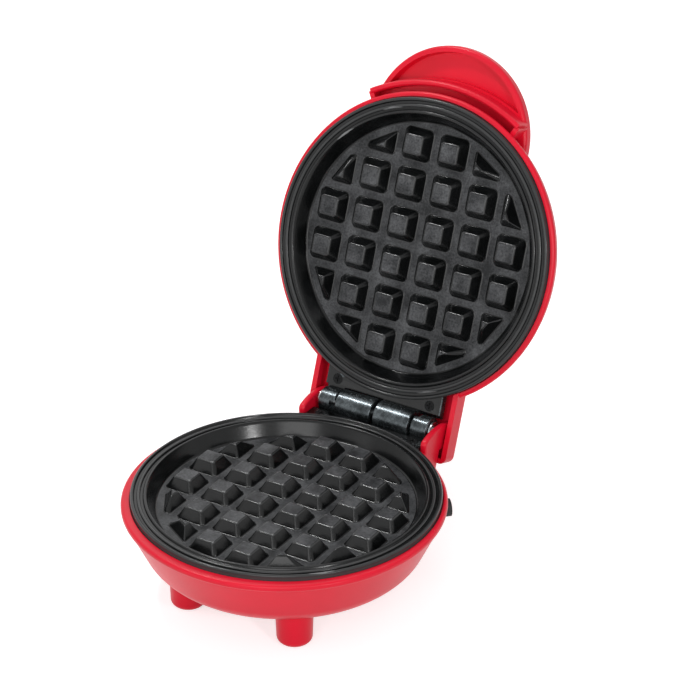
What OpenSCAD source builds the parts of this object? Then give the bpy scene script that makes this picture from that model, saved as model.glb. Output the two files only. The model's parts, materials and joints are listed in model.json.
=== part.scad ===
// Small round waffle maker, shown with its lid resting open.
// Everything is laid out with the lid shut: x to the right, y to the back,
// z up from the table, the plates' common axis at x = 0, y = 0.
// opened() then swings the lid's pieces back about the hinge pin.

/* [Overall] */
// Greatest diameter of the base shell
shell_d = 128; // [110:0.5:160]
// How much smaller the lid's greatest diameter is
lid_less = 1.1; // [0:0.1:4]
// How far the base shell's middle stands in front of the plates' axis
shell_shift = 1.5; // [0:0.1:1.6]
// Height from the bowl's bottom up to the lower plate's rim
bowl_h = 27.2; // [26:0.2:36]
// Height of the lid above the upper plate's rim, lid shut
dome_h = 27.2; // [26:0.2:36]
// Angle the lid swings back to its stop
open_angle = 110.7; // [95:0.1:115]
// Gap between the two plates' rims when shut
rim_gap = 0.4; // [0.3:0.1:1]

/* [Cooking plates] */
// Distance from the shell's edge in to the edge of a plate's flange
flange_in = 2.8; // [2.6:0.1:5]
// Depth from the rim down to the floor of the dish
dish_depth = 6; // [5:0.1:7]
// Thickness of the casting under the dish
plate_wall = 2.4; // [2:0.1:4]
// Width of the ridged rim around the dish
rim_w = 6.7; // [6.2:0.1:9]
// Width of the slope between the rim and the floor of the dish
dish_slope = 3.7; // [2:0.1:6]
// Centre-to-centre distance of the waffle pegs
peg_pitch = 16.5; // [13:0.1:18]
// Width of a peg at its foot
peg_foot = 12.6; // [10:0.1:13.5]
// Width of a peg at its top
peg_top = 7.2; // [5:0.1:8]
// Height of a peg
peg_h = 4.7; // [3:0.1:4.9]
// Height of the flange's outer edge
flange_h = 4.2; // [3.4:0.1:5]
// How far a plate's rim stands out of its shell
proud = 2.2; // [1.2:0.1:3]

/* [Hinge] */
// Distance from a plate's edge back to the hinge pin
hinge_out = 8.1; // [7.6:0.1:12]
// Radius of a hinge barrel
barrel_r = 6.1; // [5:0.1:6.6]
// Length of a hinge barrel
barrel_len = 16.4; // [12:0.1:17]
// Width of the slit between the barrels
barrel_slit = 1.6; // [1:0.1:3]
// Radius of the outer ears
ear_r = 5.3; // [4.4:0.1:6]
// Length of an outer ear
ear_len = 7.4; // [5:0.1:8]
// Diameter of the hinge pin
pin_d = 4; // [3:0.1:5]
// Radial running clearance of the pin
pin_clear = 0.05; // [0.03:0.01:0.1]
// Thickness of the lug that carries the barrels
lug_h = 3.4; // [2.6:0.1:4]

/* [Shells] */
// Wall thickness of both shells
wall = 2.4; // [1.8:0.1:3]
// Height of the rounded band under a shell's lip
band_h = 2.8; // [2:0.1:4]
// How far that band stands out
band_out = 0.9; // [0.4:0.1:1.5]
// Clearance around a plate's flange
plate_clear = 0.4; // [0.3:0.1:0.8]
// Radius of the corner between the bowl's side and bottom
bowl_corner = 13; // [4:0.5:14]
// Distance from the shell's edge in to where the bowl's flat bottom ends
bowl_side_in = 19.6; // [14:0.1:22]

/* [Feet] */
// Height of the feet under the bowl
foot_h = 15.4; // [12:0.2:20]
// Diameter of a foot at the bowl
foot_d = 14; // [12:0.1:18]
// Taper of a foot, on its diameter
foot_taper = 0.8; // [0:0.1:2]
// Sideways distance of the feet from the middle
foot_x = 24.6; // [22:0.1:30]
// Distance of the front feet in from the shell's front edge
front_foot_in = 32; // [28:0.5:36]
// Distance of the rear feet in from the shell's rear edge
rear_foot_in = 12.5; // [11:0.5:18]
// Radius of the rounded edge under a foot
foot_round = 2.6; // [1:0.1:4]
// Diameter of the rubber pad under a foot
pad_d = 7.6; // [6:0.1:8]
// How far a pad stands out of its foot
pad_out = 0.6; // [0.4:0.1:1.2]

/* [Handle] */
// Radius of the handle's round tongue
tongue_r = 35.9; // [28:0.1:38]
// Distance of the tongue's centre in from the lid's front edge
tongue_in = 16.5; // [12:0.1:22]
// Thickness of the tongue
tongue_h = 5.8; // [4.5:0.1:7]
// Depth of the finger recess under the tongue
tongue_recess = 2.4; // [1.5:0.1:3]
// Width of the tongue's border around the recess
tongue_border = 3; // [2:0.1:4]
// Thickness of the curved apron under the tongue
apron_w = 2.4; // [1.6:0.1:3]
// Gap between the apron and the lid's band
apron_gap = 2.3; // [1.5:0.1:3]
// Height of the apron below the tongue
apron_h = 7.4; // [4:0.1:8]
// Half the angle that the apron spans
apron_half = 30.5; // [26:0.5:36]
// Thickness of the walls that close the apron's two ends
apron_end_w = 2; // [1.4:0.1:3]

/* [Hinge cover] */
// Thickness of the lid's two side arms
arm_w = 2.2; // [1.8:0.1:3]
// Thickness of the base's two cheeks
cheek_w = 2.8; // [2.2:0.1:3.4]
// Gap between a cheek and the arm beside it
arm_gap = 1; // [0.4:0.1:1.4]
// Clearance between cheeks and plate lugs
side_clear = 0.4; // [0.3:0.1:0.8]
// Distance from the hinge pin to the inside of the cover's back wall
cover_back = 10.6; // [9.5:0.1:13]
// Clearance over the barrels inside the cover
cover_clear = 2.4; // [1.5:0.1:3]
// Radius of the arched top of the cheeks
cheek_arch_r = 26; // [20:0.5:40]
// Height of that arch above the hinge pin
cheek_up = 3.3; // [2.5:0.1:4.5]

/* [Heating] */
// Distance from a plate's edge in to the middle of the heater ring
heater_in = 29.2; // [28.2:0.1:34]
// Diameter of the heater's sheath
heater_d = 6.6; // [5.5:0.1:7]
// Angle covered by the heater ring
heater_angle = 300; // [280:5:320]
// Thickness of the reflector's sheet steel
sheet = 0.8; // [0.5:0.1:1]
// Distance from a plate's edge in to the plate screws
screw_in = 17.2; // [16.2:0.1:18.2]
// Radius of a plate screw's thread
screw_r = 1.5; // [1.2:0.1:1.8]

/* [Cord inlet] */
// Direction of the cord inlet, turned from the right side towards the back
inlet_angle = 45; // [40:1:50]
// Height of the cord inlet above the bowl's bottom
inlet_up = 9.8; // [9:0.2:12]
// How far the gland stands out of its boss
gland_out = 6.1; // [4:0.1:10]
// Radius of the cord's hole
cord_r = 2.7; // [2.4:0.1:3.2]

/* [Hidden] */
$fn = 96;

eps = 0.01;
fit = 0.05;             // radial clearance of screws and seated pieces
seat = 0.1;             // clearance of a loose seat
side_play = 0.2;        // end play between barrels, ears and clips

// plates, measured down from the rim
plate_r = shell_d / 2 - flange_in;
dish_r = plate_r - rim_w;
floor_r = dish_r - dish_slope;
peg_ring_r = floor_r - 1.9;
peg_row_n = ceil(peg_ring_r / peg_pitch);  // rows on each side of the middle
plate_under = dish_depth + plate_wall;
groove_h = 0.9;         // depth of the grooves in the rim
ridge_r = 0.75;         // half the width of the ridge between them
rim_z = foot_h + bowl_h;
lid_rim_z = rim_z + rim_gap;
closed_h = lid_rim_z + dome_h;
lid_d = shell_d - lid_less;

// hinge, along x
hinge_y = plate_r + hinge_out;
hinge_z = rim_z + rim_gap / 2;
barrel_in = barrel_slit / 2;
barrel_out = barrel_in + barrel_len;
ear_in = barrel_out + 4 * side_play;
ear_out = ear_in + ear_len;
clip_w = 0.8;
pin_half = ear_out + side_play + clip_w + 0.5;
lug_half = pin_half + 0.1;
lug_drop = 1.2;         // lug's top face below the rim
lug_clear = barrel_r + side_clear;
lug_screw_x = (ear_in + ear_out) / 2;
lug_y = hinge_y - barrel_r - 12;         // front end of the lug, inside the flange
lug_screw_y = hinge_y - lug_clear - 2.6;
lug_screw_r = 1.3;
lug_screw_in = 4.5;     // how deep a lug screw bites into its shell
lug_head_r = 2;
lug_head_h = 1.4;       // heads sit in the lug, just below its face

// shells
lip_z = rim_z - proud;
band_z = lip_z - band_h;
ledge_z = rim_z - flange_h;
bowl_flat = shell_d / 2 - bowl_side_in;
bowl_lean = -touch_angle([bowl_flat, foot_h + bowl_corner], bowl_corner, [shell_d / 2 - band_out, band_z]);
ledge_in = 2.2;         // how far the ledge under the flange reaches in
ledge_h = 2.4;
lid_lip_z = lid_rim_z + proud;
lid_ledge_z = lid_rim_z + flange_h;
dome_z = lid_lip_z + band_h;
flange_room = plate_r + plate_clear;
cheek_in = lug_half + side_clear;
cheek_out = cheek_in + cheek_w;
arm_in = cheek_out + arm_gap;
arm_out = arm_in + arm_w;
seat_z = rim_z - lug_drop - lug_h;       // shelf that carries the lower lug
cover_in_z = hinge_z + barrel_r + cover_clear;
cover_top_z = cover_in_z + wall;
cover_edge_z = lid_rim_z + 1.4;          // lower edge of the arms and back wall
cover_in_y = hinge_y + cover_back;
cover_out_y = cover_in_y + arm_w;
cover_front_y = hinge_y - 24;            // inside the dome
cover_round = 3;
stop_gap = 0.3;
cheek_nose_r = 2.4;     // rounding of the cheeks' front end
cheek_back_r = 7.6;     // the cheeks' rear end, about the pin
lug_boss_r = 3.2;
inner_floor = foot_h + wall;

// feet
front_foot_y = shell_d / 2 + shell_shift - front_foot_in;
rear_foot_y = shell_d / 2 - shell_shift - rear_foot_in;
rear_rise = 12;         // how far the rear feet climb the bowl's side
pad_in = 1;             // depth of a pad's recess

// handle
tongue_y = lid_d / 2 - tongue_in;
tongue_z = lid_lip_z + 10.3;
tongue_edge = 2.2;
tongue_low_edge = 1.4;
apron_r = lid_d / 2 + apron_gap;

// heater and reflector, measured down from the rim
heater_ring_r = plate_r - heater_in;
screw_ring_r = plate_r - screw_in;
rib_h = 3.6;
rib_half = heater_d / 2 + 1.2;
heater_drop = plate_under + rib_h;
boss_h = 5;
boss_r = 3.6;
pan_drop = plate_under + boss_h;
pan_r = screw_ring_r + 4.2;
dish_drop = heater_drop + heater_d / 2 + 1.6;
pan_dish_r = screw_ring_r - boss_r - 1.6;
pan_hole_r = 13;
pan_lean = 0.4;
heater_end = heater_drop + 4.6;
thermostat_drop = plate_under + 2;
screw_angles = [30, 150, 270];
clip_angles = [90, 210, 330];
heater_gap_a = 360 - heater_angle;

// base screws
head_r = 2.6;
head_h = 2;
head_z = foot_h + 1.2;
post_r = 4.1;
post_z = rim_z - pan_drop - sheet;
screw_top = rim_z - plate_under - 1;

// cord inlet
inlet_z = foot_h + inlet_up;
inlet_face = shell_d / 2 - 3.5;
inlet_mouth = inlet_face + gland_out;
inlet_boss_r = 6.4;
gland_r = cord_r + 0.9;
gland_in = 9;           // length of the gland inside its face
gland_collar_r = cord_r + 2.6;
clamp_at = inlet_face - 24.5;            // distance of the cord clamp from the axis

// passage for the lid's wires, behind the lower lug
grommet_r = 2.2;
grommet_z = hinge_z - 8.4;
grommet_out = hinge_y - 3.6;

// indicator lamp, in the middle of the lid
lamp_r = 4;
lamp_top = closed_h + 0.3;
lamp_flange_z = closed_h - wall - 0.15;
lamp_flange_h = 1.2;
holder_top = lamp_flange_z - lamp_flange_h - fit;
holder_h = 7;

// wires; the base's are measured from the table, the lid's down from its plate's rim
wire_r = 0.8;
wire_sides = 10;
pin_at = [heater_ring_r * sin(heater_gap_a / 2), -heater_ring_r * cos(heater_gap_a / 2)];
pin_end = heater_end + 3;
block_y = pin_at.y + 11.7;
wire_z = inner_floor + 1.6;
fuse_z = inner_floor + 2.1;
leg_z = rim_z - thermostat_drop - 10.6;  // just under the thermostat's legs
base_wire_routes = [
    for (s = [-1, 1]) [[s * pin_at.x, pin_at.y, rim_z - pin_end], [s * pin_at.x, pin_at.y, wire_z + 1],
        [s * 11, block_y - 9.5, wire_z], [s * 7, block_y - 8, wire_z], [s * 7, block_y - 2, wire_z]],
    [[4, 0, leg_z], [4, 0, leg_z - 0.8], [4, -3, wire_z], [0, block_y + 8, wire_z],
        [0, block_y + 2, wire_z]],
    [[-4, 0, leg_z], [-4, 0, leg_z - 0.8], [-4, 3, fuse_z], [-7, 6, fuse_z], [-11, 6, fuse_z]],
    [[-33, 6, fuse_z], [-36, 6, fuse_z], [-37, 0, fuse_z], [-30, block_y + 10, wire_z],
        [-13, block_y + 10, wire_z], [-7, block_y + 8, wire_z], [-7, block_y + 2, wire_z]]];
lid_wire_routes = [
    for (s = [-1, 1]) [[s * pin_at.x, pin_at.y, -pin_end], [s * pin_at.x, pin_at.y, -pin_end - 0.7],
        [s * 14, pin_at.y + 3.7, -20.6], [s * 13, 0, -20.4], [s * 8, screw_ring_r - 10, -19],
        [s * 5.5, screw_ring_r - 4.2, -18.7], [s * 4, screw_ring_r + 1, -16.5],
        [s * 3.5, pan_r + 0.4, -15.3], [s * 3, plate_r - 5.2, -10.2], [s * 3, plate_r - 3.7, -7.3],
        [s * 3, plate_r + 0.8, -7]]];

// half the room between the frame's front and back, so that the origin is in the middle
tip_y = tongue_y + tongue_r - tongue_edge;
tip_z = tongue_z + tongue_h - tongue_edge;
open_back = hinge_y - (tip_y + hinge_y) * cos(open_angle) + (tip_z - hinge_z) * sin(open_angle)
    + tongue_edge;
frame_y = (open_back - shell_d / 2 - shell_shift) / 2;

red = "#d2233a";
black = "#26282a";
steel = "#b9bcbf";
grey = "#8d9094";

function arc(c, r, a0, a1, n = 8) =
    [for (i = [0:n]) c + r * [cos(a0 + (a1 - a0) * i / n), sin(a0 + (a1 - a0) * i / n)]];

// angle on a circle of radius r about c where the line to p touches it from outside
function touch_angle(c, r, p) =
    atan2(p.y - c.y, p.x - c.x) - acos(r / norm(p - c));

// side of the bowl from its flat bottom up to the band, t inside the outer face
function bowl_side(t) =
    let (c = [bowl_flat, foot_h + bowl_corner],
         p = [shell_d / 2 - band_out - t / cos(bowl_lean), band_z],
         r = bowl_corner - t)
    concat([[0, foot_h + t]], arc(c, r, -90, touch_angle(c, r, p)), [p]);

// rounded band and lip from the side of a shell up to the ledge that the flange rests on
function lip_round(r) =
    concat(arc([r - 0.6, 0.6], 0.6, -90, 0, 4), arc([r - 0.6, band_h - 0.6], 0.6, 0, 90, 6));

// half of the dome's outline from its top down to the band, t inside the outer face
function dome_side(t) = [for (a = [90:-6:0])
    [(lid_d / 2 - band_out - t) * cos(a), dome_z + (closed_h - dome_z - t) * sin(a)]];

function placed_up(pts, z) = [for (p = pts) [p.x, p.y + z]];
function placed_down(pts, z) = [for (p = pts) [p.x, z - p.y]];

module placed() { translate([0, -frame_y, 0]) children(); }

module opened() {
    translate([0, hinge_y, hinge_z]) rotate([-open_angle, 0, 0])
        translate([0, -hinge_y, -hinge_z]) children();
}

// puts what is drawn below a rim at z = 0 under the lower rim, or turned over above the upper rim
module on_lower() { translate([0, 0, rim_z]) children(); }
module on_upper() { opened() translate([0, 0, lid_rim_z]) rotate([0, 180, 0]) children(); }

module rod_x(r, x0, x1, y, z) {
    translate([x0, y, z]) rotate([0, 90, 0]) cylinder(r = r, h = x1 - x0);
}

module around(angles, r) {
    for (a = angles) rotate([0, 0, a]) translate([r, 0, 0]) children();
}

// outline in the y-z plane, drawn out along x
module side_plate(pts, x0, x1) {
    translate([x0, 0, 0]) rotate([90, 0, 90]) linear_extrude(x1 - x0) polygon(pts);
}

// ---- cooking plates: one casting, used twice, rim at z = 0, dish opening upwards ----

// from the middle outwards: floor, slope, inner ridge, groove, low ridge, groove, outer ridge
module plate_round() {
    low_ridge = dish_r + 3.35;
    outer_ridge = plate_r - ridge_r;
    rotate_extrude() polygon(concat(
        [[0, -plate_under], [0, -dish_depth], [floor_r, -dish_depth]],
        arc([dish_r + ridge_r, -ridge_r], ridge_r, 150, 0, 6),
        [[dish_r + 2 * ridge_r, -groove_h]],
        arc([low_ridge, -groove_h], ridge_r, 180, 0, 8),
        [[outer_ridge - ridge_r, -groove_h]],
        arc([outer_ridge, -ridge_r], ridge_r, 180, 0, 8),
        [[plate_r, -flange_h], [plate_r - 3.6, -flange_h], [plate_r - 5.6, -plate_under]]));
}

module peg_rows() {
    for (i = [0.5 - peg_row_n:peg_row_n - 0.5]) translate([0, i * peg_pitch, 0]) rotate([90, 0, 90])
        translate([0, 0, -plate_r]) linear_extrude(2 * plate_r)
            polygon([[-peg_foot / 2, 0], [peg_foot / 2, 0], [peg_top / 2, peg_h], [-peg_top / 2, peg_h]]);
}

module pegs() {
    lean = (peg_foot - peg_top) / 2;
    translate([0, 0, -dish_depth]) intersection() {
        peg_rows();
        rotate([0, 0, 90]) peg_rows();
        cylinder(r1 = peg_ring_r, r2 = peg_ring_r - lean, h = peg_h);
    }
}

module hinge_lug() {
    axis_z = rim_gap / 2;
    difference() {
        translate([-lug_half, lug_y, -lug_drop - lug_h]) cube([2 * lug_half, hinge_y - lug_y, lug_h]);
        translate([0, 0, -plate_under]) cylinder(r = plate_r - 4, h = plate_under + 1);
        rod_x(lug_clear, -lug_half - 1, -barrel_out - side_play, hinge_y, axis_z);
        rod_x(lug_clear, -barrel_in + side_play, ear_in - side_play, hinge_y, axis_z);
        rod_x(lug_clear, ear_out + side_play, lug_half + 1, hinge_y, axis_z);
    }
    rod_x(barrel_r, -barrel_out, -barrel_in, hinge_y, axis_z);
    rod_x(ear_r, ear_in, ear_out, hinge_y, axis_z);
}

module plate_casting() {
    difference() {
        union() {
            plate_round();
            pegs();
            hinge_lug();
            rotate_extrude() translate([heater_ring_r - rib_half, -heater_drop])
                square([2 * rib_half, rib_h + eps]);
            around(screw_angles, screw_ring_r) translate([0, 0, -pan_drop])
                cylinder(r = boss_r, h = boss_h + eps);
            translate([0, 0, -thermostat_drop]) cylinder(r = 9, h = 2 + eps);
        }
        rotate_extrude() translate([heater_ring_r, -heater_drop]) circle(r = heater_d / 2 + seat);
        around(screw_angles, screw_ring_r) translate([0, 0, -pan_drop - 1])
            cylinder(r = screw_r + fit, h = boss_h + 2.4);
        rod_x(pin_d / 2 + pin_clear, -barrel_out - 1, ear_out + 1, hinge_y, rim_gap / 2);
        for (s = [-1, 1]) translate([s * lug_screw_x, lug_screw_y, -lug_drop]) {
            translate([0, 0, -lug_h - 1]) cylinder(r = lug_screw_r + 0.2, h = lug_h + 2);
            translate([0, 0, -lug_head_h - fit]) cylinder(r = lug_head_r + 0.2, h = lug_head_h + 1);
        }
    }
}

module lower_plate() { color(black) on_lower() plate_casting(); }
module upper_plate() { color(black) on_upper() plate_casting(); }

// ---- heater, its clips and the reflector under a plate ----

module heater() {
    start = 270 + heater_gap_a / 2;
    translate([0, 0, -heater_drop]) rotate([0, 0, start]) rotate_extrude(angle = heater_angle)
        translate([heater_ring_r, 0]) circle(r = heater_d / 2);
    around([start, start + heater_angle], heater_ring_r) {
        translate([0, 0, -heater_end]) cylinder(r = heater_d / 2 + 0.5, h = heater_end - heater_drop);
        translate([0, 0, -pin_end]) cylinder(r = 1.1, h = pin_end - heater_end + eps);
    }
}

module lower_heater() { color(grey) on_lower() heater(); }
module upper_heater() { color(grey) on_upper() heater(); }

// hat-shaped strap over the heater, its feet flat against the plate
module heater_clip() {
    w = rib_half + 0.3;
    low = heater_drop + heater_d / 2 + fit;
    rotate([90, 0, 0]) translate([0, 0, -4]) linear_extrude(8) polygon([
        [-w - 3.2, -plate_under], [-w - 3.2, -plate_under - sheet], [-w - sheet, -plate_under - sheet],
        [-w - sheet, -low - sheet], [w + sheet, -low - sheet], [w + sheet, -plate_under - sheet],
        [w + 3.2, -plate_under - sheet], [w + 3.2, -plate_under], [w, -plate_under],
        [w, -low], [-w, -low], [-w, -plate_under]]);
}

module heater_clips() { around(clip_angles, heater_ring_r) heater_clip(); }
module lower_heater_clips() { color(steel) on_lower() heater_clips(); }
module upper_heater_clips() { color(steel) on_upper() heater_clips(); }

module reflector_pan() {
    start = 270 + heater_gap_a / 2;
    difference() {
        rotate_extrude() polygon([
            [pan_hole_r, -dish_drop], [pan_dish_r - pan_lean, -dish_drop], [pan_dish_r, -pan_drop],
            [pan_r, -pan_drop], [pan_r, -pan_drop - sheet], [pan_dish_r + sheet, -pan_drop - sheet],
            [pan_dish_r - pan_lean + sheet, -dish_drop - sheet], [pan_hole_r, -dish_drop - sheet]]);
        around(screw_angles, screw_ring_r) translate([0, 0, -pan_drop - 2])
            cylinder(r = screw_r + 0.2, h = 4);
        around([start, start + heater_angle], heater_ring_r) translate([0, 0, -dish_drop - 2])
            cylinder(r = heater_d / 2 + 1, h = 4);
    }
}

module lower_reflector() { color(steel) on_lower() reflector_pan(); }
module upper_reflector() { color(steel) on_upper() reflector_pan(); }

module reflector_screws() {
    color(steel) on_upper() around(screw_angles, screw_ring_r) {
        translate([0, 0, -pan_drop - sheet - 1.8]) cylinder(r = head_r, h = 1.8);
        translate([0, 0, -pan_drop - sheet - eps]) cylinder(r = screw_r, h = 5.6);
    }
}

// ---- base ----

module bowl_outer() {
    translate([0, -shell_shift, 0]) rotate_extrude() polygon(concat(
        bowl_side(0), placed_up(lip_round(shell_d / 2), band_z), [[0, lip_z]]));
}

module bowl_inner() {
    difference() {
        translate([0, -shell_shift, 0]) rotate_extrude() polygon(concat(bowl_side(wall),
            [[shell_d / 2 - band_out - wall, ledge_z], [0, ledge_z]]));
        translate([0, 0, ledge_z - ledge_h]) difference() {
            cylinder(r = shell_d, h = ledge_h + 1);
            translate([0, 0, -1]) cylinder(r = plate_r - ledge_in, h = ledge_h + 3);
        }
    }
    translate([0, 0, ledge_z - eps]) cylinder(r = flange_room, h = 10);
}

// plane that the cover's back wall meets when the lid is open
function stop_point(u, v) = [
    hinge_y + u * cos(open_angle) + v * sin(open_angle),
    hinge_z - u * sin(open_angle) + v * cos(open_angle)];

module hinge_seat() {
    edge = cover_edge_z - hinge_z - stop_gap;
    high = stop_point(cover_back - 3.4, edge);
    low = stop_point(cover_back + 11, edge);
    side_plate([[hinge_y - 22, low.y], low, high, [hinge_y - lug_clear, seat_z],
        [hinge_y - 22, seat_z]], -cheek_in - eps, cheek_in + eps);
}

module cheek() {
    edge = cover_edge_z - hinge_z - stop_gap;
    high = stop_point(cover_back - 3.4, edge);
    low = stop_point(cover_back + 11, edge);
    front = hinge_y - 21;
    arch = [hinge_y - 2.8, hinge_z + cheek_up - cheek_arch_r];
    nose = arch + (cheek_arch_r - cheek_nose_r) * [cos(109), sin(109)];
    side_plate(concat(
        [[front, low.y], [front, lip_z - 0.6], [nose.x - cheek_nose_r, lip_z - 0.6]],
        arc(nose, cheek_nose_r, 180, 109, 4),
        arc(arch, cheek_arch_r, 106, 67, 10),
        arc([hinge_y, hinge_z], cheek_back_r, 8, -95, 12),
        [high, low]), cheek_in, cheek_out);
}

module at_inlet() { translate([0, 0, inlet_z]) rotate([0, 0, inlet_angle]) rotate([0, 90, 0]) children(); }

// a foot runs into the bowl, the rear ones climb its side; each has a recess for its pad
module foot(x, y, rise) {
    r = foot_d / 2;
    low = r - foot_taper / 2;
    top = foot_h + rise;
    translate([x, y, 0]) rotate_extrude() polygon(concat(
        [[0, pad_out + pad_in], [pad_d / 2 + seat, pad_out + pad_in], [pad_d / 2 + seat, pad_out]],
        arc([low - foot_round, pad_out + foot_round], foot_round, -90, 0, 8),
        arc([r - foot_round, top - foot_round], foot_round, 0, 90, 8), [[0, top]]));
}

module pad(x, y) {
    r = pad_d / 2;
    high = pad_out + pad_in;
    color(black) translate([x, y, 0]) rotate_extrude() polygon(concat(
        [[0, 0]], arc([r - 0.4, 0.4], 0.4, -90, 0, 3), [[r, high], [0, high]]));
}

module front_left_pad() { pad(-foot_x, -front_foot_y); }
module front_right_pad() { pad(foot_x, -front_foot_y); }
module rear_left_pad() { pad(-foot_x, rear_foot_y); }
module rear_right_pad() { pad(foot_x, rear_foot_y); }

module base_shell() {
    color(red) difference() {
        union() {
            bowl_outer();
            hinge_seat();
            for (s = [0, 1]) mirror([s, 0, 0]) {
                cheek();
                foot(foot_x, -front_foot_y, foot_round + 0.5);
                foot(foot_x, rear_foot_y, rear_rise);
            }
            at_inlet() translate([0, 0, inlet_face - 14]) cylinder(r = inlet_boss_r, h = 14);
        }
        difference() {
            bowl_inner();
            around(screw_angles, screw_ring_r) translate([0, 0, foot_h])
                cylinder(r = post_r, h = post_z - foot_h);
        }
        // room for the plate's lug between the cheeks
        translate([-cheek_in, lug_y, seat_z]) cube([2 * cheek_in, 40, 20]);
        around(screw_angles, screw_ring_r) {
            translate([0, 0, foot_h - 1]) cylinder(r = head_r + 0.3, h = head_z + head_h - foot_h + 1);
            translate([0, 0, foot_h]) cylinder(r = screw_r + 0.2, h = 30);
        }
        for (s = [-1, 1]) translate([s * lug_screw_x, lug_screw_y, seat_z - lug_screw_in - 1])
            cylinder(r = lug_screw_r + fit, h = 10);
        at_inlet() translate([0, 0, clamp_at]) cylinder(r = gland_r + seat, h = 40);
        translate([0, lug_y, grommet_z]) rotate([-90, 0, 0]) cylinder(r = grommet_r + seat, h = 40);
    }
}

module base_screws() {
    color(steel) around(screw_angles, screw_ring_r) difference() {
        union() {
            translate([0, 0, head_z]) cylinder(r = head_r, h = head_h);
            translate([0, 0, head_z + eps]) cylinder(r = screw_r, h = screw_top - head_z);
        }
        for (a = [0, 90]) translate([0, 0, head_z]) rotate([0, 0, a]) cube([3.6, 0.8, 2], center = true);
    }
}

module lug_screw() {
    difference() {
        union() {
            translate([0, 0, -lug_drop - lug_head_h]) cylinder(r = lug_head_r, h = lug_head_h);
            translate([0, 0, -lug_drop - lug_h - lug_screw_in])
                cylinder(r = lug_screw_r, h = lug_h - lug_head_h + lug_screw_in + eps);
        }
        for (a = [0, 90]) translate([0, 0, -lug_drop]) rotate([0, 0, a]) cube([2.6, 0.6, 1.2], center = true);
    }
}

module lug_screws() { for (s = [-1, 1]) translate([s * lug_screw_x, lug_screw_y, 0]) lug_screw(); }
module lower_lug_screws() { color(black) on_lower() lug_screws(); }
module upper_lug_screws() { color(black) on_upper() lug_screws(); }

module hinge_pin() {
    color(steel) difference() {
        rod_x(pin_d / 2, -pin_half, pin_half, hinge_y, hinge_z);
        // grooves for the two clips
        for (s = [0, 1]) mirror([s, 0, 0]) difference() {
            rod_x(pin_d, ear_out + side_play, ear_out + side_play + clip_w, hinge_y, hinge_z);
            rod_x(pin_d / 2 - 0.4, 0, pin_half, hinge_y, hinge_z);
        }
    }
}

module pin_clips() {
    color(steel) for (s = [0, 1]) mirror([s, 0, 0]) difference() {
        rod_x(pin_d / 2 + 1.8, ear_out + side_play + fit, ear_out + side_play + clip_w - fit,
            hinge_y, hinge_z);
        rod_x(pin_d / 2 - 0.4 + fit, 0, pin_half, hinge_y, hinge_z);
        translate([0, hinge_y - pin_d / 2 + 0.6, hinge_z - 2 * pin_d])
            cube([pin_half, pin_d - 1.2, 2 * pin_d]);
    }
}

module thermostat() {
    top = rim_z - thermostat_drop;
    color(grey) {
        translate([0, 0, top - 2.4]) cylinder(r = 8, h = 2.4);
        translate([0, 0, top - 6.4]) cylinder(r = 7.2, h = 4 + eps);
        for (s = [-1, 1]) translate([s * 4, 0, top - 8.4]) cube([0.8, 5, 4.2], center = true);
    }
}

module thermal_fuse() {
    color(steel) translate([-22, 6, fuse_z]) rotate([0, 90, 0]) {
        cylinder(r = 2, h = 11, center = true);
        cylinder(r = 0.5, h = 22, center = true, $fn = 32);
    }
}

module terminal_block() {
    color("ivory") translate([0, block_y, inner_floor]) difference() {
        translate([-11, -5.5, 0]) cube([22, 11, 6]);
        for (x = [-7, 0, 7]) translate([x, 0, wire_z - inner_floor]) {
            rotate([90, 0, 0]) cylinder(r = wire_r + 0.2, h = 20, center = true);
            cylinder(r = 1.6, h = 10);
        }
    }
}

module cord_gland() {
    color(black) at_inlet() difference() {
        union() {
            translate([0, 0, inlet_face - gland_in])
                cylinder(r = gland_r, h = inlet_mouth - inlet_face + gland_in);
            translate([0, 0, inlet_face]) cylinder(r = gland_collar_r, h = 1.6);
        }
        translate([0, 0, clamp_at]) cylinder(r = cord_r, h = 40);
    }
}

// saddle that would grip the cord just inside the inlet, with holes for its two screws
module cord_clamp() {
    color("ivory") rotate([0, 0, inlet_angle]) translate([clamp_at, 0, inner_floor]) difference() {
        translate([-3, -6.5, 0]) cube([6, 13, inlet_z - inner_floor - 0.8]);
        translate([0, 0, inlet_z - inner_floor]) rotate([0, 90, 0])
            cylinder(r = cord_r, h = 20, center = true);
        for (s = [-1, 1]) translate([0, s * 4.6, -1]) cylinder(r = 1, h = 10);
    }
}

// circle of points about point i of a route, square to the route there
function wire_ring(p, i) =
    let (back = i > 0 ? p[i] - p[i - 1] : [0, 0, 0],
         ahead = i < len(p) - 1 ? p[i + 1] - p[i] : [0, 0, 0],
         t = (i > 0 ? back / norm(back) : back) + (i < len(p) - 1 ? ahead / norm(ahead) : ahead),
         u = cross(t, [0.2, 0.5, 1]),
         v = cross(u, t))
    [for (k = [0:wire_sides - 1])
        p[i] + wire_r * (u / norm(u) * cos(360 * k / wire_sides) + v / norm(v) * sin(360 * k / wire_sides))];

module wire(p) {
    n = wire_sides;
    last = len(p) - 1;
    polyhedron(
        points = [for (i = [0:last]) each wire_ring(p, i)],
        faces = [[for (k = [n - 1:-1:0]) k], [for (k = [0:n - 1]) last * n + k],
            for (i = [0:last - 1], k = [0:n - 1]) each [
                [i * n + k, i * n + (k + 1) % n, (i + 1) * n + (k + 1) % n],
                [i * n + k, (i + 1) * n + (k + 1) % n, (i + 1) * n + k]]]);
}

module base_wires() {
    color("ivory") for (w = base_wire_routes) wire(w);
}

module wire_grommet() {
    color(black) translate([0, hinge_y - 11.4, grommet_z]) rotate([-90, 0, 0]) difference() {
        cylinder(r = grommet_r, h = grommet_out - hinge_y + 11.4);
        translate([0, 0, -1]) cylinder(r = grommet_r - 1, h = 40);
    }
}

// ---- lid ----

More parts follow.
